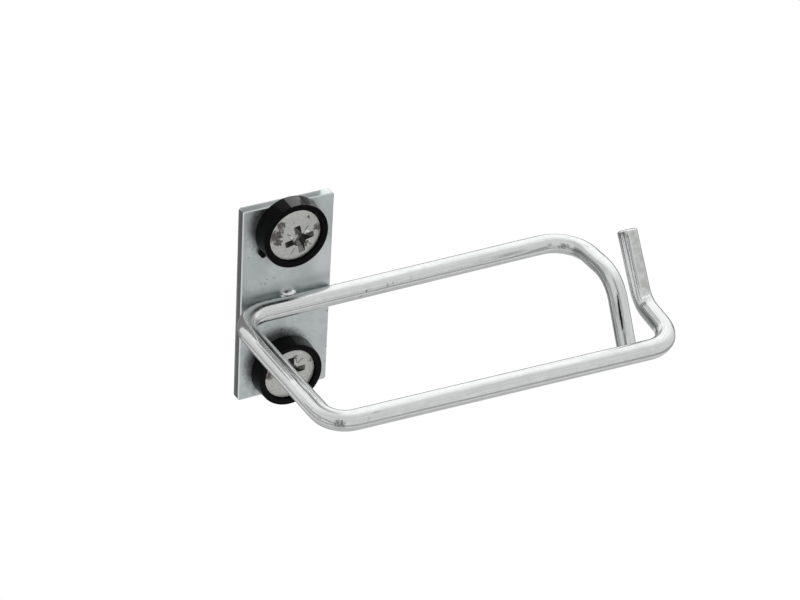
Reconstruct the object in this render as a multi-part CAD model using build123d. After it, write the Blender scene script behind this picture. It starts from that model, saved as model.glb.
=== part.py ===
from build123d import *
import os
from math import cos, radians, sin, tan

# Cable management hook for an equipment rack: a bent wire loop welded to a flat plate, with the two
# countersunk screws and black cup washers that hold the plate. All lengths are in millimetres.
# The back of the plate lies in the plane Y = 0 with its middle at the origin. +Z is up, the loop
# reaches forward along -Y and runs to the right along +X. Angles are in degrees.

# Plate
plate_width = 19.5
plate_height = 43.0
plate_thickness = 2.0
plate_corner_radius = 0.5
plate_edge_break = 0.2
screw_pitch = 31.75

# Wire loop, with bend radii to the middle of the wire
wire_diameter = 4.0
wire_drop = 0.55
wire_end_chamfer = 0.4
loop_width = 80.0
loop_overhang = 4.05
loop_clear_depth = 39.8
front_rail_splay = 2.1
bend_back_left = 6.5
bend_front_left = 5.0
bend_back_right = 7.2
bend_front_right = 5.6

# Free end of the back rail: an arm that comes forward, then a tip that leans forward and down
back_arm_length = 16.5
back_tip_length = 15.5
back_tip_lean = 29.0
bend_back_tip = 7.8

# Free end of the front rail: an arm that goes back, then a tip that leans back and up
front_end_setback = 2.1
front_arm_length = 12.6
front_arm_rise = 9.6
front_tip_length = 14.7
front_tip_lean = 33.0
bend_front_tip = 3.5

# Weld between the wire and the plate
weld_length = 3.9
weld_radius = 1.6
weld_rise = 1.05
weld_side_shift = 0.5
weld_toe = 0.6

# Screws: the thread stands as a plain cylinder of its outer size, behind a thinner neck
screw_diameter = 6.0
screw_length = 10.0
screw_tip_chamfer = 0.8
neck_diameter = 5.35
thread_start_gap = 0.1
head_diameter = 10.8
head_land = 0.35
plate_hole_clearance = 0.3

# Cross recess of the screws, whose wing ends lie on a cone and whose middle is off the screw's axis
recess_span = 6.3
recess_floor_span = 3.0
recess_wing_width = 1.35
recess_core_radius = 1.5
recess_wall_taper = 4.0
recess_depth = 1.9
tick_width = 0.18
tick_depth = 0.12
tick_start = 2.0
tick_length = 1.3
upper_recess_turn = 13.0
upper_recess_place = (1.0, -1.2)
lower_recess_turn = 3.0
lower_recess_place = (0.3, 0.5)

# Cup washers
cup_floor = 0.25
cup_rim_height = 0.65
cup_rim_wall = 1.2
cup_side_clearance = 0.2
cup_bore_clearance = 0.2
cup_taper = 0.2
cup_edge_break = 0.25
gate_diameter = 1.3
gate_length = 1.0
gate_reach = 0.05
upper_gate_turn = 217.0
lower_gate_turn = 140.0

# Places that follow from the sizes
plate_front = -plate_thickness
upper_screw_height = screw_pitch / 2
lower_screw_height = -screw_pitch / 2
head_cone_depth = (head_diameter - screw_diameter) / 2
head_underside = plate_front - cup_floor
neck_start = head_underside + (screw_diameter - neck_diameter) / 2
head_top = head_underside - head_cone_depth - head_land
cup_top = head_top - cup_rim_height
cup_inner_radius = head_diameter / 2 + cup_side_clearance
cup_rim_radius = cup_inner_radius + cup_rim_wall
cup_base_radius = cup_rim_radius + cup_taper
wire_radius = wire_diameter / 2
wire_height = -wire_drop
back_rail_y = plate_front - wire_radius

# Front plane: X to the right, Y up the rack, extrusions go forward
front_plane = Plane.XZ


def turned_on_screw_axis(profile_points):
    """Solid of revolution about the Y axis, from (radius, y) points."""
    profile = make_face(Polyline(*profile_points, close=True))
    return revolve(profile, axis=Axis.Y)


def make_plate():
    outline = RectangleRounded(plate_width, plate_height, plate_corner_radius)
    plate = extrude(front_plane * outline, amount=plate_thickness)
    front_rim = plate.faces().sort_by(Axis.Y)[0].edges()
    plate = chamfer(front_rim, plate_edge_break)
    hole_radius = screw_diameter / 2 + plate_hole_clearance
    for height in (upper_screw_height, lower_screw_height):
        hole = front_plane * Pos(0, height) * Circle(hole_radius)
        plate -= extrude(hole, amount=plate_thickness)
    return plate


def wire_corners():
    """Corners of the wire's middle line, from the tip of the back end to the tip of the front end."""
    left_x = wire_radius - plate_width / 2 - loop_overhang
    back_end_x = left_x + loop_width - wire_diameter
    front_end_x = back_end_x - front_end_setback
    front_left_y = plate_front - loop_clear_depth - wire_radius
    front_right_y = front_left_y - (front_end_x - left_x) * tan(radians(front_rail_splay))
    back_arm_y = back_rail_y - back_arm_length
    back_tip_y = back_arm_y - back_tip_length * sin(radians(back_tip_lean))
    back_tip_z = wire_height - back_tip_length * cos(radians(back_tip_lean))
    front_arm_y = front_right_y + front_arm_length * cos(radians(front_arm_rise))
    front_arm_z = wire_height + front_arm_length * sin(radians(front_arm_rise))
    front_tip_y = front_arm_y + front_tip_length * sin(radians(front_tip_lean))
    front_tip_z = front_arm_z + front_tip_length * cos(radians(front_tip_lean))
    return [
        (back_end_x, back_tip_y, back_tip_z),
        (back_end_x, back_arm_y, wire_height),
        (back_end_x, back_rail_y, wire_height),
        (left_x, back_rail_y, wire_height),
        (left_x, front_left_y, wire_height),
        (front_end_x, front_right_y, wire_height),
        (front_end_x, front_arm_y, front_arm_z),
        (front_end_x, front_tip_y, front_tip_z),
    ]


def make_wire_loop():
    bends = [
        bend_back_tip,
        bend_back_right,
        bend_back_left,
        bend_front_left,
        bend_front_right,
        bend_front_tip,
    ]
    path = FilletPolyline(*wire_corners(), radius=bends)
    section = Plane(origin=path @ 0, z_dir=path % 0) * Circle(wire_radius)
    wire = sweep(section, path=path)
    end_edges = wire.faces().filter_by(GeomType.PLANE).edges()
    return chamfer(end_edges, wire_end_chamfer)


def make_weld_bead():
    """Ball-ended bead in the corner between the plate and the top of the wire."""
    outline = SlotOverall(weld_length, 2 * weld_radius)
    upper_half = outline & Pos(0, weld_radius / 2) * Rectangle(weld_length, weld_radius)
    bead = Pos(weld_side_shift, plate_front, wire_height + weld_rise) * revolve(upper_half, axis=Axis.X)
    wire_axis = Pos(0, back_rail_y, wire_height) * Rot(0, 90, 0)
    bead -= wire_axis * Cylinder(wire_radius, plate_width)
    room_height = weld_rise + weld_radius
    room = Pos(0, plate_front, wire_height + weld_toe) * Box(
        plate_width, wire_diameter, room_height, align=(Align.CENTER, Align.MAX, Align.MIN)
    )
    return bead & room


def make_recess(place, turn):
    """Tapered cross recess with a thin tick between each pair of wings."""
    mouth_plane = front_plane.offset(-head_top)
    cross = Rectangle(recess_span, recess_wing_width) + Rectangle(recess_wing_width, recess_span)
    cross += RegularPolygon(recess_core_radius, 8)
    mouth = mouth_plane * Rot(0, 0, turn) * cross
    wings = extrude(mouth, amount=-recess_depth, taper=recess_wall_taper)
    recess_floor = head_top + recess_depth
    wing_end_cone = turned_on_screw_axis(
        [
            (0, head_top),
            (recess_span / 2, head_top),
            (recess_floor_span / 2, recess_floor),
            (0, recess_floor),
        ]
    )
    recess = wings & wing_end_cone
    tick_outline = Pos(tick_start + tick_length / 2, 0) * Rectangle(tick_length, tick_width)
    for quarter in range(4):
        tick = mouth_plane * Rot(0, 0, turn + 45 + 90 * quarter) * tick_outline
        recess += extrude(tick, amount=-tick_depth)
    return Pos(place[0], 0, place[1]) * recess


def make_screw(height, recess_place, recess_turn):
    tip = head_top + screw_length
    screw = turned_on_screw_axis(
        [
            (0, head_top),
            (head_diameter / 2, head_top),
            (head_diameter / 2, head_top + head_land),
            (neck_diameter / 2, neck_start),
            (neck_diameter / 2, thread_start_gap),
            (screw_diameter / 2, thread_start_gap),
            (screw_diameter / 2, tip - screw_tip_chamfer),
            (screw_diameter / 2 - screw_tip_chamfer, tip),
            (0, tip),
        ]
    )
    screw -= make_recess(recess_place, recess_turn)
    return Pos(0, 0, height) * screw


def make_cup_washer(height, gate_turn):
    """Tapered ring with a conical seat for the screw head and a moulding gate on its foot."""
    bore_radius = screw_diameter / 2 + cup_bore_clearance
    cup = turned_on_screw_axis(
        [
            (bore_radius, plate_front),
            (cup_base_radius, plate_front),
            (cup_rim_radius, cup_top + cup_edge_break),
            (cup_rim_radius - cup_edge_break, cup_top),
            (cup_inner_radius + cup_edge_break, cup_top),
            (cup_inner_radius, cup_top + cup_edge_break),
            (cup_inner_radius, head_top + head_land - cup_side_clearance),
            (bore_radius, head_underside - cup_bore_clearance),
        ]
    )
    foot_plane = front_plane.offset(plate_thickness)
    gate_place = Rot(0, 0, gate_turn) * Pos(cup_base_radius + gate_reach, 0)
    gate = extrude(foot_plane * gate_place * Circle(gate_diameter / 2), amount=gate_length)
    return Pos(0, 0, height) * (cup + gate)


def main():
    nodes = {
        "mounting_plate": make_plate(),
        "wire_loop": make_wire_loop(),
        "weld_bead": make_weld_bead(),
        "upper_screw": make_screw(upper_screw_height, upper_recess_place, upper_recess_turn),
        "lower_screw": make_screw(lower_screw_height, lower_recess_place, lower_recess_turn),
        "upper_cup_washer": make_cup_washer(upper_screw_height, upper_gate_turn),
        "lower_cup_washer": make_cup_washer(lower_screw_height, lower_gate_turn),
    }
    os.makedirs("parts", exist_ok=True)
    for name, shape in nodes.items():
        export_step(shape, f"parts/{name}.step")


main()
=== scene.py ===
from math import cos, pi, radians, sin, sqrt, tan

import bmesh
import bpy
from mathutils import Matrix, Quaternion, Vector, noise


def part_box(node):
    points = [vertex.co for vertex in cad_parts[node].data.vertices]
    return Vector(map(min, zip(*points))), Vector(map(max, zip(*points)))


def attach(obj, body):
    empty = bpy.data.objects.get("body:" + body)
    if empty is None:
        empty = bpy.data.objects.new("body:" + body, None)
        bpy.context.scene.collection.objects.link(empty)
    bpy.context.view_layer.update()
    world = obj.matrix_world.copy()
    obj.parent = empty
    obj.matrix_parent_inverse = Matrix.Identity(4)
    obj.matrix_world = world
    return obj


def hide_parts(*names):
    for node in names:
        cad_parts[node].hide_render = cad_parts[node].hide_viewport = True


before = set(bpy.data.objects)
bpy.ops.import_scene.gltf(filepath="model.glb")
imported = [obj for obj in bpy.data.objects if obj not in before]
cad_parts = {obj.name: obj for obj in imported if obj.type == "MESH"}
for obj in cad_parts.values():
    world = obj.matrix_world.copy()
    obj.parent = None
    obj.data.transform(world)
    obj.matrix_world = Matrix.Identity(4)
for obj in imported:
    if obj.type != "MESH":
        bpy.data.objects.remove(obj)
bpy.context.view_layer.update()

# Lengths are in millimetres until a mesh is made, and angles are in degrees.
MM = 0.001

# Wire loop, as in the solids
WIRE_RADIUS = 2.0
WIRE_DROP = 0.55
LOOP_WIDTH = 80.0
LOOP_OVERHANG = 4.05
LOOP_CLEAR_DEPTH = 39.8
FRONT_RAIL_SPLAY = 2.1
BACK_ARM_LENGTH = 16.5
BACK_TIP_LENGTH = 15.5
BACK_TIP_LEAN = 29.0
FRONT_END_SETBACK = 2.1
FRONT_ARM_LENGTH = 12.6
FRONT_ARM_RISE = 9.6
FRONT_TIP_LENGTH = 14.7
FRONT_TIP_LEAN = 33.0
BENDS = [7.8, 7.2, 6.5, 5.0, 5.6, 6.0]
RING_STEP = 0.26
RING_POINTS = 64
END_ROUNDING = 0.45
BEND_FLATTENING = 0.03

# Marks on the wire. Distances run along the wire from the back tip's end. Angles run around it,
# from the side that faces the camera on the tips.
MM_PER_DEGREE = radians(WIRE_RADIUS)

# Drawing lines are strong here: (start, end, first angle, last angle, fade along the wire)
LINED_ZONES = [
    (-1.0, 27.0, -75.0, -12.0, 3.0),
    (108.0, 137.0, 22.0, 62.0, 3.0),
    (222.5, 237.0, -48.0, 24.0, 1.0),
    (212.0, 221.5, -30.0, 10.0, 1.5),
]
ZONE_SIDE_FADE = 7.0

# How strong lines and hairs are outside those stretches
LINED_ELSEWHERE = 0.12
DARK_HAIRS_ELSEWHERE = 0.03
HAIR_RELIEF_ELSEWHERE = 0.05

# Painted shade on one side of the front tip: (start, end, first angle, last angle)
TIP_SHADE = (224.0, 237.5, 30.0, 120.0)
TIP_SHADE_FADES = (1.0, 8.0)

# Lines: (first angle, first distance, last angle, last distance, width)
LINE_CORE = 0.35
LINE_EDGE = 0.65
LINE_TAPER = 0.35
LINE_TAPER_POWER = 3.0
LINE_END_FADE = 0.4
# The groove is painted near black, as shade in a groove that has no relief
WIRE_GROOVES = [(12.0, 11.9, 7.2, 4.6, 0.44)]
WIRE_SCRATCHES = [
    (9.0, 4.7, 4.0, 0.6, 0.22),
    (30.0, 109.0, 32.0, 118.0, 0.3),
    (42.0, 112.0, 50.0, 129.0, 0.24),
    (104.8, 133.8, 102.0, 138.3, 0.2),
    (102.0, 138.3, 116.0, 140.6, 0.22),
    (81.5, 146.4, 79.0, 148.6, 0.12),
    (25.8, 23.4, 26.5, 25.2, 0.1),
    (-31.0, 236.5, -17.0, 223.2, 0.2),
    (-4.0, 236.6, -7.0, 224.4, 0.17),
    (17.0, 236.6, 20.0, 225.6, 0.13),
    (-44.0, 236.6, -36.0, 222.6, 0.2),
    (-17.0, 235.9, -12.0, 225.0, 0.1),
    (14.0, 4.4, 12.0, 0.4, 0.3),
    (79.5, 112.5, 82.0, 127.0, 0.36),
    (66.0, 110.0, 66.0, 127.5, 0.4),
    (-41.0, 28.0, -42.0, 21.0, 0.3),
    (-33.0, 29.0, -35.0, 24.0, 0.22),
]
# Painted highlights: bright lines that stand for reflections along the wire
WIRE_HIGHLIGHT_LINES = [
    (-38.0, 236.4, -27.0, 223.2, 0.16),
    (-22.0, 236.6, -15.0, 223.4, 0.42),
    (-10.0, 236.6, -8.0, 224.2, 0.3),
    (5.0, 236.7, 6.0, 225.0, 0.15),
    (76.1, 102.1, 60.0, 104.8, 0.14),
    (60.0, 104.8, 36.0, 107.0, 0.12),
    (36.0, 107.0, 82.9, 115.4, 0.12),
    (100.0, 126.0, 103.5, 132.5, 0.16),
]

# Spots: (place across, across and along the straightened wire, radius)
SPOT_CORE = 0.75
SPOT_EDGE = 1.15
WIRE_SPOTS = [
    ((0.62, -1.85, 138.3), 0.2),
    ((0.8, -1.77, 141.1), 0.8),
    ((0.75, -1.81, 140.9), 0.5),
    ((0.48, -1.94, 145.8), 0.2),
    ((-1.72, 1.02, 70.4), 0.2),
    ((-1.7, 1.05, 71.7), 0.17),
    ((-1.8, 0.87, 66.3), 0.18),
    ((-1.58, 1.22, 76.4), 0.2),
    ((-0.87, 1.8, 77.7), 0.18),
    ((-1.97, -0.32, 221.4), 0.6),
    ((-1.70, 1.05, 236.4), 0.6),
    ((-1.99, 0.13, 236.8), 0.5),
    ((-1.94, -0.48, 236.2), 0.3),
]
SMEAR_STRETCH = 1.6
WIRE_SMEARS = [
    ((-1.74, 0.98, 30.1), 0.6),
    ((-1.8, 0.85, 28.9), 0.35),
    ((-1.6, 1.2, 31.2), 0.25),
]
# Painted highlights at the front tip's crease
CREASE_HIGHLIGHT_SPOTS = [
    ((-1.45, -1.37, 223.1), 0.4),
    ((-1.8, -0.87, 223.1), 0.35),
    ((-0.81, -1.83, 223.2), 0.35),
]

# Cup washers
CUP_BORE = 3.2
CUP_INNER = 5.6
CUP_RIM = 6.8
CUP_BASE = 7.0
CUP_SEAT_DEPTH = 0.8
CUP_SEAT_FOOT = 0.45
CUP_ROUNDING = 0.25
CUP_FOOT_ROUNDING = 0.05
CUP_STEPS = 160
GATE_RADIUS = 0.65
GATE_HEIGHT = 1.0
GATE_PLACE = 7.05
GATE_FOOT_ROUNDING = 0.04
GATE_ROUNDING = 0.15
GATE_STEPS = 40
NEAR_AXIS = 0.001
PROFILE_ARC_STEPS = 6
PROFILE_SUPPORT = 0.04
GATE_TURN = {"upper_cup_washer": 217.0, "lower_cup_washer": 140.0}

# Screws
NECK_RADIUS = 2.675
SCREW_RADIUS = 3.0
SCREW_TIP_CHAMFER = 0.8
THREAD_START = 0.1
THREAD_PITCH = 1.0
THREAD_DEPTH = 0.55
THREAD_FLANK_SLOPE = 1.25
THREAD_LEAD_SLOPE = 0.8
THREAD_STEPS = 96
THREAD_ROWS_PER_TURN = 26
RECESS_EDGE_ROUNDING = 0.05
RECESS_EDGE_SEGMENTS = 3
MERGE_DISTANCE = 0.001
FLAT_ANGLE = 1.0
SHARP_ANGLE = 25.0
SMOOTH_ANGLE = 35.0

# Marks on the heads and the plate: (place, radius), seen from the front. Edge glints are painted
# highlights on the burred recess edges, and floor glints are painted lighter patches on the recess
# floor.
HEAD_TOP = -5.0
# Painted shade inside the recess, from just below the head's top face down to the recess end
RECESS_SHADE_START = 0.03
RECESS_SHADE_FULL = 0.12
RECESS_END = -3.05
RECESS_END_FADE = 0.1
SCREW_SMUDGES = {
    "upper_screw": [
        ((-4.1, 0, 16.6), 1.35),
        ((-3.1, 0, 18.5), 1.0),
        ((-3.7, 0, 15.2), 0.9),
        ((4.6, 0, 16.7), 0.8),
    ],
    "lower_screw": [((4.45, 0, -13.9), 0.4), ((-4.4, 0, -15.2), 1.0), ((1.0, 0, -12.3), 0.5)],
}
SCREW_SPECKS = {
    "upper_screw": [
        ((2.67, 0, 19.4), 0.3),
        ((2.9, 0, 19.0), 0.16),
        ((-0.4, 0, 18.7), 0.14),
        ((-3.1, 0, 14.4), 0.2),
        ((-3.4, 0, 16.3), 0.32),
        ((-3.9, 0, 15.5), 0.28),
        ((-2.7, 0, 17.0), 0.22),
        ((-3.2, 0, 15.4), 0.16),
        ((-3.9, 0, 17.1), 0.25),
        ((2.3, 0, 13.6), 0.42),
        ((2.3, 0, 13.1), 0.32),
        ((2.65, 0, 13.9), 0.3),
        ((-0.45, 0, 15.15), 0.13),
        ((-1.1, 0, 15.3), 0.12),
    ],
    "lower_screw": [
        ((0.4, 0, -12.7), 0.18),
        ((2.7, 0, -13.0), 0.14),
        ((1.34, 0, -12.7), 0.13),
        ((1.37, 0, -13.1), 0.14),
        ((1.41, 0, -13.5), 0.12),
        ((4.45, 0, -13.9), 0.18),
    ],
}
# Painted highlights on the burred recess edges
SCREW_EDGE_GLINTS = {
    "upper_screw": [
        ((2.3, 0, 16.35), 0.2),
        ((2.75, 0, 16.2), 0.24),
        ((3.2, 0, 13.95), 0.2),
        ((3.05, 0, 13.3), 0.2),
        ((-0.75, 0, 15.45), 0.24),
        ((-0.95, 0, 15.9), 0.18),
        ((0.0, 0, 15.35), 0.2),
    ],
    "lower_screw": [((2.2, 0, -11.5), 0.2), ((1.7, 0, -11.6), 0.16)],
}
# Painted glints where the recess floor catches light
RECESS_GLINTS = {
    "upper_screw": [((0.95, 0, 13.95), 0.42), ((1.3, 0, 14.3), 0.34), ((0.75, 0, 13.5), 0.25)],
    "lower_screw": [],
}
# Painted shade and reflection of the cup washers on the plate's front face
PLATE_SHADE_PLACES = [(-0.9, 0.0, 16.775), (-0.9, 0.0, -14.975)]
PLATE_SHADE_CORE = 6.2
PLATE_SHADE_EDGE = 8.6
# A painted pool of light on the plate's front face
PLATE_LIT_PLACE = (9.5, 0.0, 6.5)
PLATE_LIT_CORE = 2.0
PLATE_LIT_EDGE = 6.0
PLATE_SPECKS = [
    ((-0.65, 0, -7.1), 0.22),
    ((9.4, 0, -5.3), 0.25),
    ((9.5, 0, -9.4), 0.2),
    ((9.5, 0, -13.6), 0.22),
    ((-4.6, 0, 4.4), 0.2),
    ((-8.4, 0, 11.2), 0.14),
    ((6.2, 0, 8.4), 0.14),
    ((-4.9, 0, 4.9), 0.13),
    ((-4.3, 0, 5.3), 0.16),
    ((-2.9, 0, 5.4), 0.18),
    ((-2.5, 0, 5.2), 0.13),
    ((-5.4, 0, 4.6), 0.16),
    ((9.0, 0, 12.5), 0.12),
    ((9.45, 0, -17.2), 0.2),
]

# Which way the plate's left side, left edge and front face, by the part of their normal
LEFT_SIDE_FACING = (-0.98, -0.9)
LEFT_EDGE_FACING = (-0.8, -0.5)
LEFT_EDGE_FADE = 0.05
FRONT_FACING = (-0.9, -0.6)

# Painted reflections on the cup washers' walls, as stretches of stronger shine: (first angle, last
# angle, shine)
NYLON_SHINE = 0.035
STRETCH_FADE = 1.2
WALL_FACING = 0.3
WALL_FADE = 0.1
REFLECTION_STRETCHES = {
    "upper_cup_washer": [(74.0, 101.0, 0.6), (44.0, 73.0, 0.2)],
    "lower_cup_washer": [(50.0, 80.0, 0.14)],
}

# Weld
# The slit is painted as a dark line of shade along the bead
WELD_SLIT = 1.35
WELD_SLIT_HALF = 0.07
WELD_SLIT_FADE = 0.05
WELD_RADIUS = 1.6
WELD_SINK = 0.15
WELD_ROUGHNESS = 0.02
WELD_DIP_SCALE = 0.8
WELD_DIP_FALLOFF = 0.9
WELD_DIP_STEP = 2.1
WELD_DIP_OCTAVES = 2
WELD_SLICES = 60
WELD_AROUND = 72
WELD_END_GAP = 0.0001

# Depth of the fine relief of each surface
WIRE_RELIEF = 0.012
PLATE_RELIEF = 0.015
WELD_RELIEF = 0.008
SCREW_RELIEF = 0.02
NYLON_RELIEF = 0.01

# Colours, as shares of red, green and blue
WIRE_PALE = (0.64, 0.652, 0.645)
WIRE_SHADED = (0.54, 0.552, 0.545)
WIRE_CLOUDED = (0.56, 0.572, 0.565)
# Painted shade on one side of the front tip
WIRE_TIP_SHADE = (0.42, 0.425, 0.41)
WIRE_STREAKED = (0.24, 0.25, 0.25)
WIRE_HAIRED = (0.2, 0.21, 0.21)
WIRE_SCRATCHED = (0.15, 0.15, 0.15)
WIRE_SPOTTED = (0.13, 0.12, 0.115)
# Painted highlight
WIRE_PAINTED_HIGHLIGHT = (0.84, 0.85, 0.85)
# Painted shade in the groove
WIRE_GROOVE_SHADE = (0.012, 0.012, 0.012)
PLATE_PALE = (0.565, 0.605, 0.603)
PLATE_CLOUDED = (0.485, 0.525, 0.523)
PLATE_PATCHED = (0.43, 0.468, 0.466)
# Painted shade and reflection of the washers
PLATE_WASHER_SHADE = (0.13, 0.14, 0.14)
# Painted shade on the plate's left side
PLATE_SIDE_SHADE = (0.16, 0.17, 0.175)
# Painted highlight on the plate's left edge
PLATE_EDGE_HIGHLIGHT = (0.8, 0.82, 0.82)
PLATE_SPECKED = (0.14, 0.14, 0.13)
# Painted light
PLATE_LIT = (0.68, 0.71, 0.715)
WELD_PALE = (0.66, 0.67, 0.68)
WELD_SHADED = (0.54, 0.55, 0.55)
# Painted shade in the weld's slit
WELD_SLIT_SHADE = (0.06, 0.06, 0.06)
SCREW_PALE = (0.54, 0.547, 0.525)
SCREW_SHADED = (0.43, 0.435, 0.415)
SCREW_SMUDGED = (0.085, 0.068, 0.072)
SCREW_SPECKED = (0.06, 0.055, 0.05)
# Painted highlight on burred edges
SCREW_EDGE_GLINT = (0.82, 0.82, 0.8)
# Painted shade inside the recess
RECESS_SHADE_DARK = (0.1, 0.1, 0.095)
RECESS_SHADE_GREY = (0.24, 0.24, 0.23)
# Painted glint on the recess floor
RECESS_GLINT = (0.8, 0.8, 0.78)
NYLON_DARK = (0.0025, 0.0025, 0.003)
NYLON_PALE = (0.005, 0.005, 0.005)
NYLON_DUSTY = (0.12, 0.12, 0.115)

# Floor. It lies low, so that views from below still show the object.
FLOOR_HALF_SIDE = 2500.0
FLOOR_LEVEL = -300.0
FLOOR_COLOUR = (0.94, 0.94, 0.94, 1.0)
FLOOR_WHITE_SHARE = 0.85
WHITE = (1.0, 1.0, 1.0, 1.0)

# Camera: place, the way it looks and its lens
CAMERA_AIM = (12.25, -25.0, 9.6)
CAMERA_DISTANCE = 536.25
CAMERA_AZIMUTH = 30.702
CAMERA_ELEVATION = 31.825
CAMERA_ROLL = 3.625
CAMERA_LENS = 127.62
CAMERA_SENSOR = 36.0
CAMERA_CLIP_START = 0.01

# Light: the bright side of the studio, its fading in degrees from its middle, and the levels
GLOW_SIDE = (0.40, 0.74, 0.54)
GLOW_CORE = 12.0
GLOW_FADE = 75.0
GLOW_LEVEL = 0.6
SOFT_LEVEL = 0.92

# Grey cards that only show in the metal
BAND_STEPS = 96
DARK_BAND_RADIUS = 250.0
DARK_BAND_AZIMUTHS = (0.0, 360.0)
DARK_BAND_ELEVATIONS = (-30.0, -15.0)
DARK_BAND_SHADE = 0.5
LOW_CARD_RADIUS = 160.0
LOW_CARD_HEIGHT = -144.0
LOW_CARD_SHADE = 0.72
CARD_SHADE = 0.42
CARD_LEFT_SHADE = 0.28
CARD_GAP = 0.3
CARD_LEFT = -18.0
CARD_RIGHT = 8.0
CARD_DEPTH = 100.0
CARD_HALF_HEIGHT = 250.0
CARD_OPENING = 9.5
CARD_OPENING_HEIGHT = 28.6
CARD_LOWER_TOP = 38.0
CARD_UPPER_SHADE = 0.85
CONTOUR_RADIUS = 250.0
CONTOUR_AZIMUTHS = (-20.0, 85.0)
CONTOUR_ELEVATIONS = (-30.0, 4.0)
CONTOUR_SHADE = 0.25


def box_mm(node):
    """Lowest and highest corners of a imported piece, in millimetres."""
    low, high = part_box(node)
    return Vector(low) / MM, Vector(high) / MM


# Shader nodes

# Sockets of a Mix node that mixes colours
MIX_FIRST = 6
MIX_SECOND = 7
MIX_RESULT = 2


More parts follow.
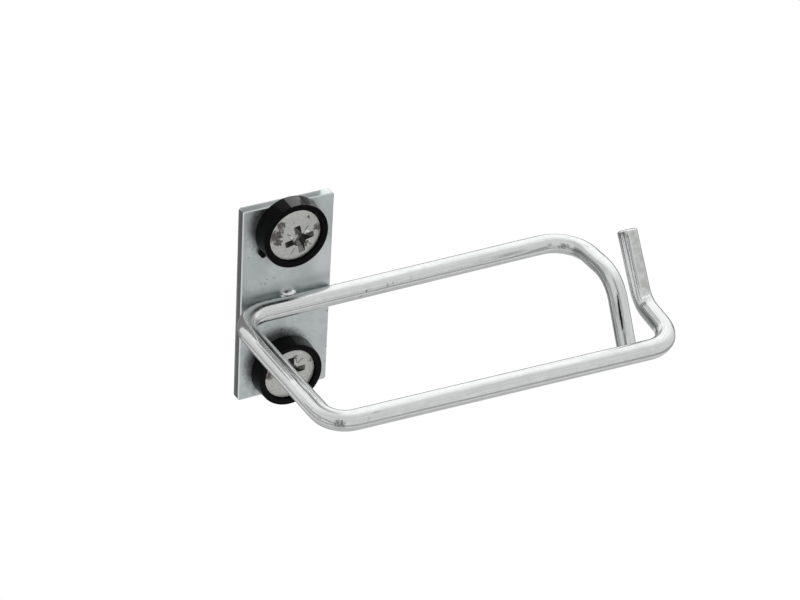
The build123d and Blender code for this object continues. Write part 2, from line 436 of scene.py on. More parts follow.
class Shading:
    """A material's node tree, with one short call for each kind of node."""

    def __init__(self, name):
        self.material = bpy.data.materials.new(name)
        self.material.use_nodes = True
        self.tree = self.material.node_tree
        self.surface = self.tree.nodes["Principled BSDF"]

    def add(self, kind, inputs=None, **settings):
        """A new node with its settings, and its inputs set or linked."""
        made = self.tree.nodes.new("ShaderNode" + kind)
        for key, value in settings.items():
            setattr(made, key, value)
        for key, value in (inputs or {}).items():
            self.put(value, made.inputs[key])
        return made

    def put(self, value, socket):
        """Link an output to the socket, or set the socket to a plain value."""
        if isinstance(value, bpy.types.NodeSocket):
            self.tree.links.new(value, socket)
        else:
            socket.default_value = value

    def set(self, **values):
        """Inputs of the surface by their names, such as base_color."""
        for key, value in values.items():
            socket = key.replace("_", " ").title().replace("Ior", "IOR")
            self.put(value, self.surface.inputs[socket])

    def object_mm(self):
        """The place on the object in millimetres."""
        place = self.add("TexCoord").outputs["Object"]
        return self.stretched(place, (1 / MM, 1 / MM, 1 / MM))

    def attribute(self, name):
        return self.add("Attribute", attribute_name=name).outputs["Vector"]

    def parts(self, vector):
        return self.add("SeparateXYZ", {"Vector": vector}).outputs

    def normal_parts(self):
        return self.parts(self.add("NewGeometry").outputs["Normal"])

    def stretched(self, place, scale, shift=(0, 0, 0)):
        mapping = self.add("Mapping", {"Vector": place, "Scale": scale, "Location": shift})
        return mapping.outputs["Vector"]

    def noise(self, place, scale, detail=2.0, roughness=0.5, distortion=0.0):
        inputs = {
            "Vector": place,
            "Scale": scale,
            "Detail": detail,
            "Roughness": roughness,
            "Distortion": distortion,
        }
        return self.add("TexNoise", inputs).outputs["Fac"]

    def ragged(self, value, reach):
        """A noise spread evenly from -reach to reach, which breaks the edges of marks."""
        return self.range(value, 0.25, 0.75, -reach, reach, smooth=False)

    def range(self, value, low, high, to_low=0.0, to_high=1.0, smooth=True):
        """The value from low to high, carried over to the stretch from to_low to to_high."""
        inputs = {
            "Value": value,
            "From Min": low,
            "From Max": high,
            "To Min": to_low,
            "To Max": to_high,
        }
        kind = "SMOOTHSTEP" if smooth else "LINEAR"
        return self.add("MapRange", inputs, interpolation_type=kind).outputs["Result"]

    def maths(self, operation, first, second=0.0):
        made = self.add("Math", operation=operation)
        self.put(first, made.inputs[0])
        self.put(second, made.inputs[1])
        return made.outputs[0]

    def times(self, first, second):
        return self.maths("MULTIPLY", first, second)

    def weighted(self, *pairs):
        """The sum of values times their weights."""
        total = self.times(*pairs[0])
        for value, weight in pairs[1:]:
            total = self.maths("ADD", total, self.times(value, weight))
        return total

    def mix(self, factor, first, second):
        """From the first colour at factor 0 to the second at factor 1."""
        made = self.add("Mix", data_type="RGBA")
        self.put(factor, made.inputs["Factor"])
        for value, key in ((first, MIX_FIRST), (second, MIX_SECOND)):
            if isinstance(value, tuple):
                value = (*value, 1.0)
            self.put(value, made.inputs[key])
        return made.outputs[MIX_RESULT]

    def painted(self, tone, colour, mask, strength):
        """The tone with a colour over it where the mask is."""
        return self.mix(self.times(mask, strength), tone, colour)

    def distance(self, place, centre):
        made = self.add("VectorMath", operation="DISTANCE")
        self.put(place, made.inputs[0])
        made.inputs[1].default_value = centre
        return made.outputs["Value"]

    def window(self, value, low, high, fade):
        """1 between low and high, with soft ends."""
        rise = self.range(value, low - fade, low + fade)
        fall = self.range(value, high - fade, high + fade, to_low=1.0, to_high=0.0)
        return self.times(rise, fall)

    def either(self, *masks):
        """The highest of the masks."""
        whole = masks[0]
        for mask in masks[1:]:
            whole = self.maths("MAXIMUM", whole, mask)
        return whole

    def spots(self, place, marks, ragged):
        """Ragged spots from (centre, radius) pairs, with ragged as the noise that breaks their edges."""
        whole = 0.0
        for centre, radius in marks:
            away = self.maths("ADD", self.distance(place, centre), ragged)
            core, edge = radius * SPOT_CORE, radius * SPOT_EDGE
            whole = self.either(whole, self.range(away, core, edge, to_low=1.0, to_high=0.0))
        return whole

    def lines(self, angle, along, marks, ragged):
        """Thin lines on the wire, each wider in its middle than at its ends."""
        whole = 0.0
        for first, start, last, end, width in marks:
            slope = (last - first) / (end - start)
            course = self.maths("MULTIPLY_ADD", along, slope)
            course.node.inputs[2].default_value = first - slope * start
            across = self.maths("ABSOLUTE", self.maths("SUBTRACT", angle, course))
            across = self.maths("ADD", self.times(across, MM_PER_DEGREE), ragged)
            ends = self.maths("ABSOLUTE", self.maths("SUBTRACT", along, (start + end) / 2))
            half = abs(end - start) / 2
            taper = self.maths("POWER", self.maths("DIVIDE", ends, half), LINE_TAPER_POWER)
            across = self.maths("ADD", across, self.times(taper, width * LINE_TAPER))
            core, edge = width * LINE_CORE, width * LINE_EDGE
            line = self.range(across, core, edge, to_low=1.0, to_high=0.0)
            low, high = sorted((start, end))
            line = self.times(line, self.window(along, low, high, LINE_END_FADE))
            whole = self.either(whole, line)
        return whole

    def bump(self, height, depth):
        return self.add("Bump", {"Height": height, "Distance": depth * MM}).outputs["Normal"]


def wire_directions(s, straight):
    """The distance along the wire and the angle around it."""
    parts = s.parts(straight)
    back_x = s.times(parts["X"], -1.0)
    back_y = s.times(parts["Y"], -1.0)
    angle = s.times(s.maths("ARCTAN2", back_y, back_x), 180 / pi)
    return parts["Z"], angle


def wire_zones(s, along, angle):
    """Masks of the stretches where drawing lines are strong."""
    zones = []
    for start, end, low, high, fade in LINED_ZONES:
        lengthwise = s.window(along, start, end, fade)
        zones.append(s.times(lengthwise, s.window(angle, low, high, ZONE_SIDE_FADE)))
    return zones


def wire_zinc():
    """Drawn wire: lengthwise lines everywhere, strongest on the arms, with scratches and spots, painted
    highlights, painted shade on one side of the front tip and a groove painted as shade.
    """
    s = Shading("wire_zinc_drawn")
    straight = s.attribute("straight")
    along, angle = wire_directions(s, straight)
    zones = wire_zones(s, along, angle)
    lined = s.either(LINED_ELSEWHERE, *zones)

    def drawn(squeeze, shift=(0, 0, 0)):
        return s.stretched(straight, (1, 1, squeeze), shift)

    fine_lines = s.noise(drawn(0.02), scale=5.0, detail=4.0, roughness=0.65)
    streaks = s.noise(drawn(0.012, (7, 2, 0)), scale=2.6, detail=3.0, roughness=0.6)
    broad_lines = s.noise(drawn(0.01, (3, 5, 0)), scale=1.1)
    hairs = s.noise(drawn(0.008, (4, 9, 0)), scale=7.0, roughness=0.6)
    mottle = s.noise(straight, scale=0.7, detail=4.0, roughness=0.6)
    grain = s.noise(straight, scale=9.0, detail=3.0, roughness=0.6)
    speckle = s.noise(straight, scale=3.6, detail=3.0, roughness=0.7)
    ragged = s.ragged(s.noise(straight, scale=3.2, detail=3.0, roughness=0.65), reach=0.5)
    slightly_ragged = s.times(ragged, 0.12)

    shortened = s.stretched(straight, (1, 1, 1 / SMEAR_STRETCH))
    smears = [((x, y, z / SMEAR_STRETCH), radius) for (x, y, z), radius in WIRE_SMEARS]
    spots = s.either(s.spots(straight, WIRE_SPOTS, ragged), s.spots(shortened, smears, ragged))
    spots = s.times(spots, s.range(speckle, 0.4, 0.58, to_low=0.5))
    # Painted shade along the groove
    groove_shade = s.lines(angle, along, WIRE_GROOVES, slightly_ragged)
    scratches = s.lines(angle, along, WIRE_SCRATCHES, slightly_ragged)
    # Painted shade on one side of the front tip
    start, end, low, high = TIP_SHADE
    end_fade, side_fade = TIP_SHADE_FADES
    tip_shade_mask = s.times(s.window(along, start, end, end_fade), s.window(angle, low, high, side_fade))
    dark_streak = s.times(s.range(streaks, 0.49, 0.57), lined)
    dark_hair = s.times(s.range(hairs, 0.54, 0.6), s.either(DARK_HAIRS_ELSEWHERE, *zones))
    # Painted highlights: bright lines, glints at the crease and bright hairs in the lined stretches
    highlight_hair = s.times(s.range(hairs, 0.43, 0.38), s.either(0.0, *zones))
    bright = s.either(
        s.lines(angle, along, WIRE_HIGHLIGHT_LINES, slightly_ragged),
        s.times(s.spots(straight, CREASE_HIGHLIGHT_SPOTS, slightly_ragged), 0.8),
        s.times(highlight_hair, 0.7),
    )

    tone = s.mix(s.range(fine_lines, 0.35, 0.7), WIRE_PALE, WIRE_SHADED)
    tone = s.mix(s.range(mottle, 0.35, 0.75), tone, WIRE_CLOUDED)
    # The painted tip shade, broken up by the mottle
    tip_shade_mask = s.times(tip_shade_mask, s.range(mottle, 0.35, 0.6, to_low=0.2, to_high=0.9))
    tone = s.mix(tip_shade_mask, tone, WIRE_TIP_SHADE)
    tone = s.mix(dark_streak, tone, WIRE_STREAKED)
    tone = s.mix(dark_hair, tone, WIRE_HAIRED)
    tone = s.painted(tone, WIRE_SCRATCHED, scratches, strength=0.75)
    tone = s.painted(tone, WIRE_SPOTTED, spots, strength=0.85)
    # Painted highlights over the tone
    tone = s.mix(bright, tone, WIRE_PAINTED_HIGHLIGHT)
    # The groove's painted shade goes over everything
    tone = s.mix(groove_shade, tone, WIRE_GROOVE_SHADE)
    rough = s.range(mottle, 0.3, 0.7, to_low=0.18, to_high=0.27)
    rough = s.either(rough, s.times(spots, 0.45), s.times(bright, 0.8))
    s.set(base_color=tone, metallic=1.0, roughness=rough)
    height = s.weighted(
        (fine_lines, 0.35),
        (broad_lines, 1.2),
        (s.times(streaks, lined), 3.5),
        (s.times(hairs, s.either(HAIR_RELIEF_ELSEWHERE, *zones)), 2.5),
        (grain, 0.12),
    )
    s.set(normal=s.bump(height, WIRE_RELIEF))
    return s.material


def plate_zinc():
    """Dull zinc with rolling marks, painted shade and reflection of the washers, a left side painted in
    shade with a painted highlight on its edge, a painted pool of light and small specks.
    """
    s = Shading("plate_zinc_rolled")
    place = s.object_mm()
    flat = s.stretched(place, (1, 0, 1))
    rolled = s.noise(s.stretched(place, (1, 1, 0.05)), scale=3.5, detail=4.0, roughness=0.6)
    cloud = s.noise(place, scale=0.16, detail=4.0, roughness=0.6, distortion=0.4)
    patch = s.noise(place, scale=0.9, detail=4.0, roughness=0.65)
    grain = s.noise(place, scale=7.0, detail=3.0, roughness=0.6)
    ragged = s.ragged(s.noise(place, scale=1.6, detail=3.0, roughness=0.65), reach=0.8)
    blotch = s.noise(place, scale=1.3, detail=4.0, roughness=0.7)

    facing = s.normal_parts()
    # The left side is painted in shade
    left_side_shade = s.range(facing["X"], *LEFT_SIDE_FACING, to_low=1.0, to_high=0.0)
    # The left edge is painted with a highlight
    left_edge_highlight = s.window(facing["X"], *LEFT_EDGE_FACING, LEFT_EDGE_FADE)
    front = s.range(facing["Y"], *FRONT_FACING, to_low=1.0, to_high=0.0)
    # Painted shade and reflection of the washers, round each washer and broken up by noise
    washer_shade = 0.0
    for centre in PLATE_SHADE_PLACES:
        away = s.maths("ADD", s.distance(flat, centre), ragged)
        near = s.range(away, PLATE_SHADE_CORE, PLATE_SHADE_EDGE, to_low=1.0, to_high=0.0)
        washer_shade = s.either(washer_shade, near)
    washer_shade = s.times(s.times(washer_shade, front), s.range(blotch, 0.35, 0.65, to_low=0.3, to_high=0.7))
    specks = s.times(s.spots(flat, PLATE_SPECKS, s.times(ragged, 0.12)), front)
    # A painted pool of light on the front face
    away = s.distance(flat, PLATE_LIT_PLACE)
    lit = s.range(away, PLATE_LIT_CORE, PLATE_LIT_EDGE, to_low=0.7, to_high=0.0)

    tone = s.mix(s.range(cloud, 0.35, 0.65), PLATE_PALE, PLATE_CLOUDED)
    tone = s.mix(s.range(patch, 0.45, 0.75, to_high=0.45), tone, PLATE_PATCHED)
    # Painted washer shade over the tone
    tone = s.mix(washer_shade, tone, PLATE_WASHER_SHADE)
    tone = s.painted(tone, PLATE_SIDE_SHADE, left_side_shade, strength=0.75)
    tone = s.painted(tone, PLATE_EDGE_HIGHLIGHT, left_edge_highlight, strength=0.8)
    tone = s.painted(tone, PLATE_SPECKED, specks, strength=0.6)
    tone = s.mix(s.times(lit, front), tone, PLATE_LIT)
    uneven = s.weighted((rolled, 0.4), (patch, 0.6))
    rough = s.range(uneven, 0.3, 0.7, to_low=0.3, to_high=0.42)
    s.set(base_color=tone, metallic=1.0, roughness=rough)
    height = s.weighted((rolled, 0.5), (grain, 0.3), (patch, 0.8))
    s.set(normal=s.bump(height, PLATE_RELIEF))
    return s.material


def weld_metal():
    """Bright bead with a slit along its lower half, painted as a dark line of shade."""
    s = Shading("weld_metal_plated")
    place = s.object_mm()
    ripple = s.noise(place, scale=1.2, detail=3.0)
    wave = s.ragged(s.noise(place, scale=0.8, detail=1.0), reach=0.05)
    level = s.maths("ADD", s.parts(place)["Z"], wave)
    # The slit, painted as a dark line of shade
    slit = s.window(level, WELD_SLIT - WELD_SLIT_HALF, WELD_SLIT + WELD_SLIT_HALF, WELD_SLIT_FADE)
    tone = s.mix(s.range(ripple, 0.35, 0.65), WELD_PALE, WELD_SHADED)
    tone = s.painted(tone, WELD_SLIT_SHADE, slit, strength=0.85)
    rough = s.range(ripple, 0.3, 0.7, to_low=0.2, to_high=0.34)
    s.set(base_color=tone, metallic=1.0, roughness=rough)
    s.set(normal=s.bump(ripple, WELD_RELIEF))
    return s.material


def screw_steel(name, smudges, specks, edge_glints, floor_glints):
    """Dull steel with painted shade in the recess, painted glints on its floor, smudges, specks and
    painted highlights on the burred recess edges of the head.
    """
    s = Shading(name)
    place = s.object_mm()
    depth = s.parts(place)["Y"]
    flat = s.stretched(place, (1, 0, 1))
    fleck = s.noise(place, scale=2.2, detail=4.0, roughness=0.65)
    grain = s.noise(place, scale=11.0, detail=3.0, roughness=0.6)
    speckle = s.noise(place, scale=3.0, detail=4.0, roughness=0.7)
    blotch = s.noise(place, scale=1.5, detail=5.0, roughness=0.75)
    ragged = s.ragged(s.noise(flat, scale=1.7, detail=3.0, roughness=0.65), reach=0.5)

    smudge = s.times(s.spots(flat, smudges, ragged), s.range(blotch, 0.38, 0.5, to_low=0.3))
    speck = s.spots(flat, specks, s.times(ragged, 0.2))
    # Painted highlights on the burred recess edges
    edge_glint = s.spots(flat, edge_glints, s.times(ragged, 0.3))
    # Painted glints on the recess floor
    floor_glint = s.spots(flat, floor_glints, s.times(ragged, 0.3))
    # Painted shade inside the recess
    below_face = s.range(depth, HEAD_TOP + RECESS_SHADE_START, HEAD_TOP + RECESS_SHADE_FULL)
    above_end = s.range(depth, RECESS_END, RECESS_END + RECESS_END_FADE, to_low=1.0, to_high=0.0)

    tone = s.mix(s.range(fleck, 0.35, 0.7), SCREW_PALE, SCREW_SHADED)
    tone = s.painted(tone, SCREW_SMUDGED, smudge, strength=0.9)
    tone = s.painted(tone, SCREW_SPECKED, speck, strength=0.8)
    tone = s.painted(tone, SCREW_EDGE_GLINT, edge_glint, strength=0.8)
    # The recess's painted shade, with lighter and darker noise
    recess_shade = s.mix(s.range(speckle, 0.35, 0.65), RECESS_SHADE_DARK, RECESS_SHADE_GREY)
    # Painted glints over the recess shade
    recess_shade = s.painted(recess_shade, RECESS_GLINT, floor_glint, strength=0.85)
    tone = s.mix(s.times(below_face, above_end), tone, recess_shade)
    rough = s.range(fleck, 0.3, 0.7, to_low=0.34, to_high=0.46)
    s.set(base_color=tone, metallic=1.0, roughness=rough)
    s.set(normal=s.bump(s.weighted((fleck, 0.8), (grain, 0.4)), SCREW_RELIEF))
    return s.material


def black_nylon(name, centre_z, reflection_stretches):
    """Black plastic with painted reflections on its wall, as stretches of stronger shine, and a little
    dust.
    """
    s = Shading(name)
    place = s.object_mm()
    parts = s.parts(place)
    peel = s.noise(place, scale=3.0)
    dust = s.add("TexVoronoi", {"Vector": place, "Scale": 1.1}).outputs["Distance"]
    rise = s.maths("SUBTRACT", parts["Z"], centre_z)
    angle = s.times(s.maths("ARCTAN2", rise, parts["X"]), 180 / pi)
    wall = s.window(s.normal_parts()["Y"], -WALL_FACING, WALL_FACING, WALL_FADE)
    shine_and_reflections = NYLON_SHINE
    # Painted reflections: the shine is raised in given stretches round the wall
    for first, last, level in reflection_stretches:
        stretch = s.times(s.window(angle, first, last, STRETCH_FADE), wall)
        shine_and_reflections = s.either(shine_and_reflections, s.times(stretch, level))
    tone = s.mix(s.range(peel, 0.4, 0.7), NYLON_DARK, NYLON_PALE)
    tone = s.mix(s.range(dust, 0.03, 0.06, to_low=0.35, to_high=0.0), tone, NYLON_DUSTY)
    rough = s.range(peel, 0.3, 0.7, to_low=0.12, to_high=0.2)
    s.set(base_color=tone, roughness=rough, specular_ior_level=shine_and_reflections)
    s.set(normal=s.bump(peel, NYLON_RELIEF))
    return s.material


# Meshes

def make_piece(name, points, faces, material, smooth=True):
    """A mesh object from points in millimetres."""
    mesh = bpy.data.meshes.new(name)
    mesh.from_pydata([Vector(p) * MM for p in points], [], faces)
    mesh.validate()
    for face in mesh.polygons:
        face.use_smooth = smooth
    piece = bpy.data.objects.new(name, mesh)
    bpy.context.scene.collection.objects.link(piece)
    mesh.materials.append(material)
    return piece


def place_piece(piece, node):
    """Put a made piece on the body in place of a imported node."""
    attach(piece, "root")
    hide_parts(node)


def wire_corners():
    """Corners of the wire's middle line, from the back tip to the front tip, as in the solids."""
    plate_low = box_mm("mounting_plate")[0]
    left_x = plate_low.x - LOOP_OVERHANG + WIRE_RADIUS
    back_x = left_x + LOOP_WIDTH - 2 * WIRE_RADIUS
    front_x = back_x - FRONT_END_SETBACK
    rail_y = plate_low.y - WIRE_RADIUS
    left_y = plate_low.y - LOOP_CLEAR_DEPTH - WIRE_RADIUS
    right_y = left_y - (front_x - left_x) * tan(radians(FRONT_RAIL_SPLAY))
    z = -WIRE_DROP
    back_arm = Vector((back_x, rail_y - BACK_ARM_LENGTH, z))
    back_lean = radians(BACK_TIP_LEAN)
    back_tip = back_arm - BACK_TIP_LENGTH * Vector((0, sin(back_lean), cos(back_lean)))
    rise = radians(FRONT_ARM_RISE)
    front_arm = Vector((front_x, right_y, z)) + FRONT_ARM_LENGTH * Vector((0, cos(rise), sin(rise)))
    front_lean = radians(FRONT_TIP_LEAN)
    front_tip = front_arm + FRONT_TIP_LENGTH * Vector((0, sin(front_lean), cos(front_lean)))
    return [
        back_tip,
        back_arm,
        Vector((back_x, rail_y, z)),
        Vector((left_x, rail_y, z)),
        Vector((left_x, left_y, z)),
        Vector((front_x, right_y, z)),
        front_arm,
        front_tip,
    ]


def filleted_path(corners, radii):
    """Straight runs joined by tangent arcs: a list of (length, function of distance) spans."""
    spans = []
    start = corners[0]
    for before, corner, after, radius in zip(corners, corners[1:], corners[2:], radii):
        way_in = (corner - before).normalized()
        way_out = (after - corner).normalized()
        turn = way_in.angle(way_out)
        cut = radius * tan(turn / 2)
        arc_start = corner - way_in * cut
        spans.append(straight_span(start, arc_start))
        spans.append(arc_span(arc_start, way_in, way_out, turn, radius))
        start = corner + way_out * cut
    spans.append(straight_span(start, corners[-1]))
    return spans


def straight_span(start, end):
    """The length of a straight run, and a function of distance that gives its place and direction."""
    way = (end - start).normalized()

    def at(distance):
        return start + way * distance, way, None

    return (end - start).length, at


def arc_span(start, way_in, way_out, turn, radius):
    """The same for an arc, whose function also gives the direction to the arc's centre."""
    axis = way_in.cross(way_out).normalized()
    centre = start + axis.cross(way_in) * radius

    def at(distance):
        way = Quaternion(axis, distance / radius) @ way_in
        inward = axis.cross(way)
        return centre - inward * radius, way, inward

    return turn * radius, at


def wire_rings():
    """Even steps along the wire: (distance, middle, direction, inward direction of the bend)."""
    rings = []
    travelled = 0.0
    for length, at in filleted_path(wire_corners(), BENDS):
        steps = max(1, round(length / RING_STEP))
        for k in range(steps):
            distance = length * k / steps
            rings.append((travelled + distance, *at(distance)))
        travelled += length
    rings.append((travelled, *at(length)))
    return rings


def wire_piece(finish):
    """The wire's skin, which also stores where each point is on the straightened wire."""
    rings = wire_rings()
    total = rings[-1][0]
    points, straight, faces = [], [], []
    side = rings[0][2].orthogonal().normalized()
    before = rings[0][2]
    for distance, middle, way, inward in rings:
        side = before.rotation_difference(way) @ side
        side = (side - way * side.dot(way)).normalized()
        before = way
        other = way.cross(side)
        to_end = min(distance, total - distance)
        shrink = 0.0
        if to_end < END_ROUNDING:
            shrink = END_ROUNDING - sqrt(max(0.0, END_ROUNDING**2 - (END_ROUNDING - to_end) ** 2))
        for k in range(RING_POINTS):
            angle = 2 * pi * k / RING_POINTS
            out = side * cos(angle) + other * sin(angle)
            radius = WIRE_RADIUS - shrink
            if inward is not None:
                radius -= WIRE_RADIUS * BEND_FLATTENING * max(0.0, -out.dot(inward)) ** 2
            points.append(middle + out * radius)
            straight.append((cos(angle) * radius, sin(angle) * radius, distance))
    count = len(rings)
    for ring in range(count - 1):
        for k in range(RING_POINTS):
            a = ring * RING_POINTS + k
            b = ring * RING_POINTS + (k + 1) % RING_POINTS
            faces.append((a, b, b + RING_POINTS, a + RING_POINTS))
    faces.append(tuple(reversed(range(RING_POINTS))))
    faces.append(tuple(range((count - 1) * RING_POINTS, count * RING_POINTS)))
    piece = make_piece("wire_loop_drawn", points, faces, finish)
    stored = piece.data.attributes.new("straight", "FLOAT_VECTOR", "POINT")
    stored.data.foreach_set("vector", [c for p in straight for c in p])
    return piece


def rounded_profile(corners):
    """Closed outline from (radius, y, rounding) corners, with a support point beside each arc."""
    outline = []
    for k, (radius, y, rounding) in enumerate(corners):
        corner = Vector((radius, y))
        before = Vector(corners[k - 1][:2])
        after = Vector(corners[(k + 1) % len(corners)][:2])
        way_back = (before - corner).normalized()
        way_on = (after - corner).normalized()
        first = corner + way_back * rounding
        last = corner + way_on * rounding
        outline.append(first + way_back * PROFILE_SUPPORT)
        for step in range(PROFILE_ARC_STEPS + 1):
            t = step / PROFILE_ARC_STEPS
            outline.append(first * (1 - t) ** 2 + corner * 2 * t * (1 - t) + last * t**2)
        outline.append(last + way_on * PROFILE_SUPPORT)
    return outline


def turned(outline, steps, centre):
    """Points and faces of a closed outline turned about the Y axis through the centre."""
    points, faces = [], []
    for k in range(steps):
        angle = 2 * pi * k / steps
        for p in outline:
            points.append((centre.x + p[0] * cos(angle), p[1], centre.z + p[0] * sin(angle)))
    n = len(outline)
    for k in range(steps):
        for j in range(n):
            a, b = k * n + j, k * n + (j + 1) % n
            c, d = ((k + 1) % steps) * n + (j + 1) % n, ((k + 1) % steps) * n + j
            faces.append((a, d, c, b))
    return points, faces


def cup_piece(node, finish):
    """A cup washer turned about its screw's axis, with the moulding gate on its foot."""
    low, high = box_mm(node)
    screw_low, screw_high = box_mm(node.replace("cup_washer", "screw"))
    centre = (screw_low + screw_high) / 2
    top, foot = low.y, high.y
    outline = rounded_profile(
        [
            (CUP_BORE, foot, CUP_FOOT_ROUNDING),
            (CUP_BASE, foot, CUP_FOOT_ROUNDING),
            (CUP_RIM, top, CUP_ROUNDING),
            (CUP_INNER, top, CUP_ROUNDING),
            (CUP_INNER, top + CUP_SEAT_DEPTH, CUP_FOOT_ROUNDING),
            (CUP_BORE, foot - CUP_SEAT_FOOT, CUP_FOOT_ROUNDING),
        ]
    )
    points, faces = turned(outline, CUP_STEPS, centre)
    turn = radians(GATE_TURN[node])
    gate_x = centre.x + GATE_PLACE * cos(turn)
    gate_z = centre.z + GATE_PLACE * sin(turn)
    gate = rounded_profile(
        [
            (NEAR_AXIS, foot, 0.0),
            (GATE_RADIUS, foot, GATE_FOOT_ROUNDING),
            (GATE_RADIUS, foot - GATE_HEIGHT, GATE_ROUNDING),
            (NEAR_AXIS, foot - GATE_HEIGHT, 0.0),
        ]
    )
    gate_points, gate_faces = turned(gate, GATE_STEPS, Vector((gate_x, 0, gate_z)))
    shift = len(points)
    points += gate_points
    faces += [tuple(i + shift for i in face) for face in gate_faces]
    return make_piece(node + "_moulded", points, faces, finish)


def thread_shape(centre, tip):
    """Points and faces of a closed threaded rod between the neck and the tip."""
    turns = (tip - THREAD_START) / THREAD_PITCH
    rows = round(turns * THREAD_ROWS_PER_TURN)
    points, faces = [], []
    for row in range(rows + 1):
        y = THREAD_START + (tip - THREAD_START) * row / rows
        for k in range(THREAD_STEPS):
            angle = 2 * pi * k / THREAD_STEPS
            phase = ((y - THREAD_START) / THREAD_PITCH + k / THREAD_STEPS) % 1.0
            flank = abs(2 * phase - 1) * THREAD_FLANK_SLOPE - (THREAD_FLANK_SLOPE - 1) / 2
            flank = min(1.0, max(0.0, flank))
            radius = SCREW_RADIUS - THREAD_DEPTH * (1 - flank)
            cone = SCREW_RADIUS - SCREW_TIP_CHAMFER + (tip - y)
            start_cone = NECK_RADIUS + (y - THREAD_START) * THREAD_LEAD_SLOPE
            radius = min(radius, cone, start_cone)
            points.append((centre.x + radius * cos(angle), y, centre.z + radius * sin(angle)))
    for row in range(rows):
        for k in range(THREAD_STEPS):
            a = row * THREAD_STEPS + k
            b = row * THREAD_STEPS + (k + 1) % THREAD_STEPS
            faces.append((a, a + THREAD_STEPS, b + THREAD_STEPS, b))
    faces.append(tuple(range(THREAD_STEPS)))
    faces.append(tuple(reversed(range(rows * THREAD_STEPS, (rows + 1) * THREAD_STEPS))))
    return points, faces


def screw_piece(node, finish):
    """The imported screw's head with its edges rounded, on a rod with a real thread."""
    low, high = box_mm(node)
    centre = (low + high) / 2
    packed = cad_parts[node]
    mesh = bpy.data.meshes.new(node + "_threaded")
    bm = bmesh.new()
    bm.from_mesh(packed.data)
    bm.transform(packed.matrix_world)
    bmesh.ops.remove_doubles(bm, verts=bm.verts, dist=MERGE_DISTANCE * MM)
    rod = [face for face in bm.faces if face.calc_center_median().y > 0.5 * THREAD_START * MM]
    bmesh.ops.delete(bm, geom=rod, context="FACES")
    bmesh.ops.dissolve_limit(bm, angle_limit=radians(FLAT_ANGLE), verts=bm.verts, edges=bm.edges)
    sharp = [e for e in bm.edges if e.is_manifold and e.calc_face_angle() > radians(SHARP_ANGLE)]
    bmesh.ops.bevel(
        bm,
        geom=sharp,
        offset=RECESS_EDGE_ROUNDING * MM,
        segments=RECESS_EDGE_SEGMENTS,
        profile=0.5,
        affect="EDGES",
        clamp_overlap=True,
    )
    points, faces = thread_shape(centre, high.y)
    made = [bm.verts.new(Vector(p) * MM) for p in points]
    for face in faces:
        bm.faces.new([made[i] for i in face])
    bmesh.ops.recalc_face_normals(bm, faces=bm.faces)
    for face in bm.faces:
        face.smooth = True
    bm.to_mesh(mesh)
    bm.free()
    mesh.set_sharp_from_angle(angle=radians(SMOOTH_ANGLE))
    piece = bpy.data.objects.new(node + "_threaded", mesh)
    bpy.context.scene.collection.objects.link(piece)
    mesh.materials.append(finish)
    return piece


def weld_piece(finish):
    """Smooth bead in the corner between the plate and the wire, its foot sunk in both."""
    low, high = box_mm("weld_bead")
    middle = Vector(((low.x + high.x) / 2, high.y, high.z - WELD_RADIUS))
    half = (high.x - low.x) / 2
    straight = half - WELD_RADIUS
    points, faces = [], []
    for i in range(WELD_SLICES + 1):
        along = -half * cos(pi * i / WELD_SLICES) * (1 - WELD_END_GAP)
        beyond = max(0.0, abs(along) - straight)
        radius = sqrt(max(0.0, WELD_RADIUS**2 - beyond**2))
        for k in range(WELD_AROUND):
            angle = 2 * pi * k / WELD_AROUND
            out = Vector((0, -cos(angle), sin(angle)))
            place = middle + Vector((along, 0, 0)) + out * radius
            place *= WELD_DIP_SCALE
            dip = noise.fractal(place, WELD_DIP_FALLOFF, WELD_DIP_STEP, WELD_DIP_OCTAVES)
            dip = (dip + 1) / 2
            place = middle + Vector((along, 0, 0)) * (1 - WELD_ROUGHNESS * dip)
            place += out * (radius - WELD_ROUGHNESS * max(0.0, dip))
            place.y = min(place.y, middle.y + WELD_SINK)
            points.append(place)
    for i in range(WELD_SLICES):
        for k in range(WELD_AROUND):
            a = i * WELD_AROUND + k
            b = i * WELD_AROUND + (k + 1) % WELD_AROUND
            faces.append((a, a + WELD_AROUND, b + WELD_AROUND, b))
    faces.append(tuple(range(WELD_AROUND)))
    last = WELD_SLICES * WELD_AROUND
    faces.append(tuple(reversed(range(last, last + WELD_AROUND))))
    return make_piece("weld_bead_rippled", points, faces, finish)


# Stage

def either_ray(tree, *rays):
    """1 for any of the named kinds of ray."""
    path = tree.nodes.new("ShaderNodeLightPath")
    whole = path.outputs[rays[0]]
    for ray in rays[1:]:
        either = tree.nodes.new("ShaderNodeMath")
        either.operation = "MAXIMUM"
        tree.links.new(whole, either.inputs[0])
        tree.links.new(path.outputs[ray], either.inputs[1])
        whole = either.outputs[0]
    return whole


def mixed_surface(tree, factor, first, second):
    """The first shader at factor 0 and the second at factor 1."""
    mixed = tree.nodes.new("ShaderNodeMixShader")
    tree.links.new(factor, mixed.inputs[0])
    tree.links.new(first, mixed.inputs[1])
    tree.links.new(second, mixed.inputs[2])
    return mixed.outputs[0]


def bare_material(name):
    """A material with no surface yet, and its node tree."""
    material = bpy.data.materials.new(name)
    material.use_nodes = True
    tree = material.node_tree
    tree.nodes.remove(tree.nodes["Principled BSDF"])
    return material, tree


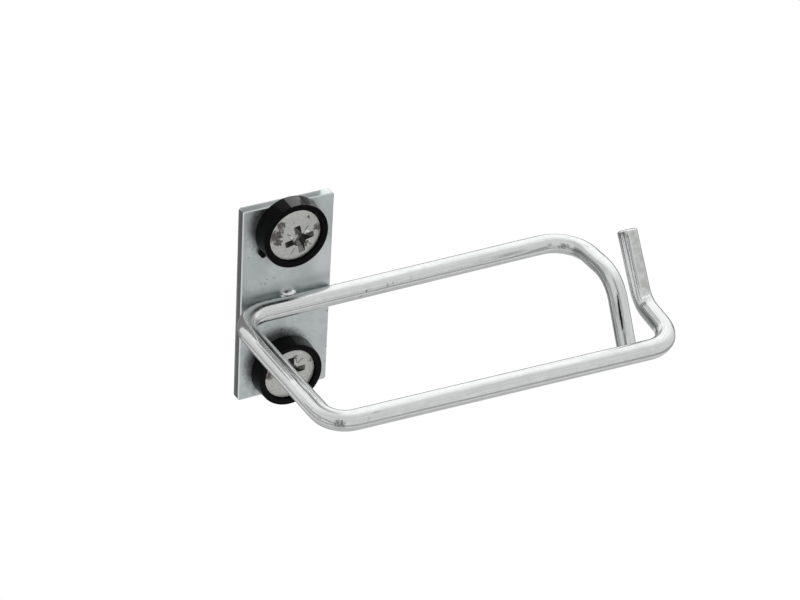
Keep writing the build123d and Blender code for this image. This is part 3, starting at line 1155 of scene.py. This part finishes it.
def make_floor():
    """A pale floor that is nearly white to camera, glossy and transmission rays."""
    half, z = FLOOR_HALF_SIDE, FLOOR_LEVEL
    corners = [(-half, -half, z), (half, -half, z), (half, half, z), (-half, half, z)]
    material, tree = bare_material("pale_floor")
    matt = tree.nodes.new("ShaderNodeBsdfDiffuse")
    matt.inputs["Color"].default_value = FLOOR_COLOUR
    seen = either_ray(tree, "Is Camera Ray", "Is Glossy Ray", "Is Transmission Ray")
    part = tree.nodes.new("ShaderNodeMath")
    part.operation = "MULTIPLY"
    tree.links.new(seen, part.inputs[0])
    part.inputs[1].default_value = FLOOR_WHITE_SHARE
    white = tree.nodes.new("ShaderNodeEmission")
    white.inputs["Color"].default_value = WHITE
    surface = mixed_surface(tree, part.outputs[0], matt.outputs[0], white.outputs[0])
    tree.links.new(surface, tree.nodes["Material Output"].inputs["Surface"])
    floor = make_piece("studio_floor", corners, [(0, 1, 2, 3)], material, smooth=False)


def make_world():
    """White to the camera. What lights the object has a soft bright side, behind and above."""
    world = bpy.data.worlds.new("studio")
    bpy.context.scene.world = world
    world.use_nodes = True
    tree = world.node_tree
    place = tree.nodes.new("ShaderNodeTexCoord")
    towards = tree.nodes.new("ShaderNodeVectorMath")
    towards.operation = "DOT_PRODUCT"
    tree.links.new(place.outputs["Generated"], towards.inputs[0])
    towards.inputs[1].default_value = Vector(GLOW_SIDE).normalized()

    def background(low, high):
        level = tree.nodes.new("ShaderNodeMapRange")
        level.interpolation_type = "SMOOTHSTEP"
        tree.links.new(towards.outputs["Value"], level.inputs["Value"])
        level.inputs["From Min"].default_value = cos(radians(GLOW_FADE))
        level.inputs["From Max"].default_value = cos(radians(GLOW_CORE))
        level.inputs["To Min"].default_value = low
        level.inputs["To Max"].default_value = high
        made = tree.nodes.new("ShaderNodeBackground")
        made.inputs["Color"].default_value = WHITE
        tree.links.new(level.outputs["Result"], made.inputs["Strength"])
        return made.outputs[0]

    soft = background(SOFT_LEVEL, SOFT_LEVEL + GLOW_LEVEL)
    mirrored = background(1.0, 1.0 + GLOW_LEVEL)
    white = tree.nodes.new("ShaderNodeBackground")
    white.inputs["Color"].default_value = WHITE
    mirror_rays = either_ray(tree, "Is Glossy Ray", "Is Transmission Ray")
    lit = mixed_surface(tree, mirror_rays, soft, mirrored)
    seen = mixed_surface(tree, either_ray(tree, "Is Camera Ray"), lit, white.outputs[0])
    tree.links.new(seen, tree.nodes["World Output"].inputs["Surface"])


def mirror_only(name, points, faces, shade, one_sided=False):
    """A grey card that only mirror-like surfaces see."""
    material, tree = bare_material(name)
    grey = tree.nodes.new("ShaderNodeEmission")
    grey.inputs["Color"].default_value = (shade, shade, shade, 1)
    surface = grey.outputs[0]
    if one_sided:
        side = tree.nodes.new("ShaderNodeNewGeometry")
        clear = tree.nodes.new("ShaderNodeBsdfTransparent")
        surface = mixed_surface(tree, side.outputs["Backfacing"], surface, clear.outputs[0])
    tree.links.new(surface, tree.nodes["Material Output"].inputs["Surface"])
    card = make_piece(name, points, faces, material, smooth=False)
    card.visible_camera = False
    card.visible_diffuse = False
    card.visible_transmission = False
    card.visible_shadow = False


def curved_card(name, radius, azimuths, elevations, shade):
    """A card round the object, between two azimuths and two angles over the horizon."""
    points, faces = [], []
    first, last = azimuths
    for k in range(BAND_STEPS + 1):
        angle = radians(first + (last - first) * k / BAND_STEPS)
        for elevation in elevations:
            e = radians(elevation)
            level = radius * cos(e)
            points.append((level * sin(angle), level * cos(angle), radius * sin(e)))
    for k in range(BAND_STEPS):
        a, b = 2 * k, 2 * k + 2
        faces.append((a, a + 1, b + 1, b))
    mirror_only(name, points, faces, shade)


def low_card():
    """A pale grey disc under the object."""
    points = []
    for k in range(BAND_STEPS):
        angle = 2 * pi * k / BAND_STEPS
        points.append((LOW_CARD_RADIUS * cos(angle), LOW_CARD_RADIUS * sin(angle), LOW_CARD_HEIGHT))
    mirror_only("low_card", points, [tuple(range(BAND_STEPS))], LOW_CARD_SHADE)


def flat_card(name, y, rectangles, shade):
    """A card of (left, right, bottom, top) rectangles that stand in the plane y."""
    points, faces = [], []
    for x0, x1, z0, z1 in rectangles:
        first = len(points)
        points += [(x0, y, z0), (x1, y, z0), (x1, y, z1), (x0, y, z1)]
        faces.append((first, first + 1, first + 2, first + 3))
    mirror_only(name, points, faces, shade, one_sided=True)


def make_side_cards():
    """Grey cards in an L behind the plate, with two openings, that darken the arms' reflections."""
    plate_low, plate_high = box_mm("mounting_plate")
    y = plate_high.y + CARD_GAP
    left = plate_low.x - CARD_GAP
    edge = plate_high.z + CARD_GAP
    half_open = CARD_OPENING / 2
    open_low = CARD_OPENING_HEIGHT - half_open
    open_high = CARD_OPENING_HEIGHT + half_open
    flat_card("card_left", y, [(CARD_LEFT, left, -CARD_HALF_HEIGHT, CARD_HALF_HEIGHT)], CARD_LEFT_SHADE)
    over_plate = [
        (left, CARD_RIGHT, edge, open_low),
        (left, -half_open, open_low, open_high),
        (half_open, CARD_RIGHT, open_low, open_high),
        (left, CARD_RIGHT, open_high, CARD_LOWER_TOP),
    ]
    under_plate = [(x0, x1, -z1, -z0) for x0, x1, z0, z1 in over_plate]
    flat_card("card_behind", y, over_plate + under_plate, CARD_SHADE)
    flat_card("card_above", y, [(left, CARD_RIGHT, CARD_LOWER_TOP, CARD_HALF_HEIGHT)], CARD_UPPER_SHADE)
    far = y + CARD_DEPTH
    stretches = [
        ("card_side", -CARD_HALF_HEIGHT, CARD_LOWER_TOP, CARD_SHADE),
        ("card_side_above", CARD_LOWER_TOP, CARD_HALF_HEIGHT, CARD_UPPER_SHADE),
    ]
    for name, z0, z1, shade in stretches:
        corners = [
            (CARD_RIGHT, y, z0),
            (CARD_RIGHT, far, z0),
            (CARD_RIGHT, far, z1),
            (CARD_RIGHT, y, z1),
        ]
        mirror_only(name, corners, [(0, 1, 2, 3)], shade, one_sided=True)


def make_camera():
    """The photograph's viewpoint, with a level direction turned by the roll."""
    azimuth = radians(CAMERA_AZIMUTH)
    elevation = radians(CAMERA_ELEVATION)
    roll = radians(CAMERA_ROLL)
    forward = Vector((sin(azimuth) * cos(elevation), cos(azimuth) * cos(elevation), -sin(elevation)))
    level = Vector((cos(azimuth), -sin(azimuth), 0))
    above = Vector((sin(azimuth) * sin(elevation), cos(azimuth) * sin(elevation), cos(elevation)))
    right = level * cos(roll) + above * sin(roll)
    up = above * cos(roll) - level * sin(roll)
    place = (Vector(CAMERA_AIM) - forward * CAMERA_DISTANCE) * MM
    camera = bpy.data.cameras.new("camera")
    camera.lens = CAMERA_LENS
    camera.sensor_width = CAMERA_SENSOR
    camera.clip_start = CAMERA_CLIP_START
    thing = bpy.data.objects.new("camera", camera)
    bpy.context.scene.collection.objects.link(thing)
    turn = Matrix((right, up, -forward)).transposed().to_4x4()
    thing.matrix_world = Matrix.Translation(place) @ turn
    bpy.context.scene.camera = thing


make_camera()
make_world()
make_floor()
curved_card("dark_band", DARK_BAND_RADIUS, DARK_BAND_AZIMUTHS, DARK_BAND_ELEVATIONS, DARK_BAND_SHADE)
low_card()
make_side_cards()
curved_card("contour_card", CONTOUR_RADIUS, CONTOUR_AZIMUTHS, CONTOUR_ELEVATIONS, CONTOUR_SHADE)

place_piece(wire_piece(wire_zinc()), "wire_loop")
place_piece(weld_piece(weld_metal()), "weld_bead")
for level in ("upper", "lower"):
    cup = level + "_cup_washer"
    screw = level + "_screw"
    screw_low, screw_high = box_mm(screw)
    middle_z = (screw_low.z + screw_high.z) / 2
    nylon = black_nylon(level + "_black_nylon", middle_z, REFLECTION_STRETCHES[cup])
    place_piece(cup_piece(cup, nylon), cup)
    marks = [kind[screw] for kind in (SCREW_SMUDGES, SCREW_SPECKS, SCREW_EDGE_GLINTS, RECESS_GLINTS)]
    steel = screw_steel(screw + "_steel", *marks)
    place_piece(screw_piece(screw, steel), screw)
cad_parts["mounting_plate"].data.materials[0] = plate_zinc()

bpy.context.scene.view_settings.view_transform = "Standard"
